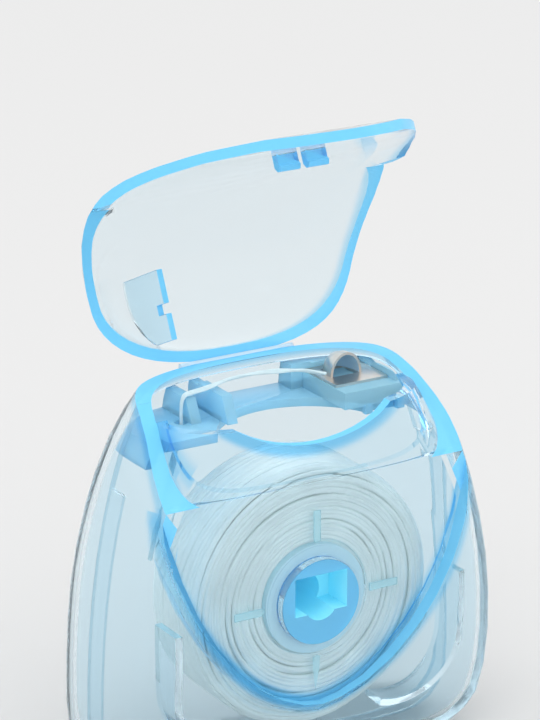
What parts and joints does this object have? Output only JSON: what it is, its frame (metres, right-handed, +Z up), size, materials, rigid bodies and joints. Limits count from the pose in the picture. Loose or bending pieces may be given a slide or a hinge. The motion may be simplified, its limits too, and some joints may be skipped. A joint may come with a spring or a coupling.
{
  "type": "dental floss dispenser",
  "caption": "Clear moulded dental floss dispenser with a deep flip lid, floss spool on an axle, guide deck and raised steel cutter",
  "frame": {"origin": "middle of the flat base, on the surface it stands on", "axes": "+X to the right seen from the front, -Y out of the front (the side the lid covers), +Z up"},
  "size_m": [0.0554, 0.0448, 0.0901],
  "materials": {
    "case": "clear pale blue moulded plastic",
    "insert": "clear blue moulded plastic",
    "axle": "deeper blue clear plastic",
    "core": "satin pale tube",
    "cutter": "stamped bright sheet steel",
    "floss": "waxed white multifilament floss"
  },
  "bodies": {
    "case": {"rear_shell": "case", "front_shell": "case", "top_deck": "insert", "floss_guide": "insert", "cutter_platform": "insert", "cutter_blade": "cutter", "spool_axle": "axle", "hinge_web": "case", "floss_strand": "floss"},
    "lid": {"lid": "case"},
    "spool": {"spool_core": "core", "floss_pack": "floss", "floss_winding": "floss"}
  },
  "joints": [
    {"name": "lid_hinge", "type": "hinge", "parent": "case", "child": "lid", "pos_m": [0, 0.0112, 0.0525], "axis": [1, 0, 0], "range_deg": [-15, 115]},
    {"name": "spool_spin", "type": "hinge", "parent": "case", "child": "spool", "pos_m": [0, -0.0019, 0.0251], "axis": [0, -1, 0], "continuous": true}
  ]
}
